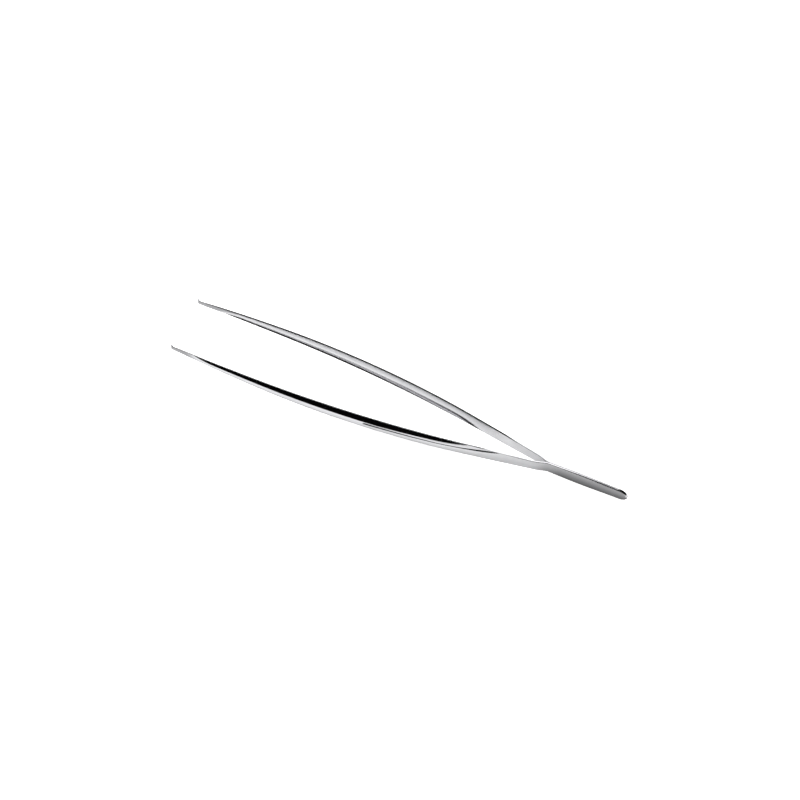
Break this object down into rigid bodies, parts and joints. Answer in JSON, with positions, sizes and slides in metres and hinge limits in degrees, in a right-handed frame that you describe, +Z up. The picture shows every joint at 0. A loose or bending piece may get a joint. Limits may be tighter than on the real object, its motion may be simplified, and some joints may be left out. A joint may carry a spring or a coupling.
{
  "type": "stamp tongs",
  "caption": "Slim spring-steel tongs for handling postage stamps: two bowed, gutter-shaped arms welded at a flat heel, with fine turned-up points.",
  "frame": {"origin": "middle of the length, on the mirror plane between the arms, at the height of the lowest edge, so the tongs lie on the edges of their strips", "axes": "+X runs from the points to the heel, +Y crosses the opening towards the right arm (seen from the heel), +Z is up, the way the points are turned"},
  "size_m": [0.155, 0.0236, 0.0061],
  "materials": {
    "polished_steel": "mirror-polished stainless spring steel, with satin ground points",
    "weld_steel": "fused steel inside the seam"
  },
  "bodies": {
    "heel": {"left_arm_tang": "polished_steel", "right_arm_tang": "polished_steel", "spot_welds": "weld_steel"},
    "left_blade": {"left_arm_blade": "polished_steel"},
    "right_blade": {"right_arm_blade": "polished_steel"}
  },
  "joints": [
    {"name": "left_arm_flex", "type": "hinge", "parent": "heel", "child": "left_blade", "pos_m": [0.0405, -0.00238, 0.00303], "axis": [0, 0, -1], "range_deg": [0, 4.62], "stiffness_Nm_per_rad": 0.5},
    {"name": "right_arm_flex", "type": "hinge", "parent": "heel", "child": "right_blade", "pos_m": [0.0405, 0.00238, 0.00303], "axis": [0, 0, 1], "range_deg": [0, 4.62], "stiffness_Nm_per_rad": 0.5}
  ]
}
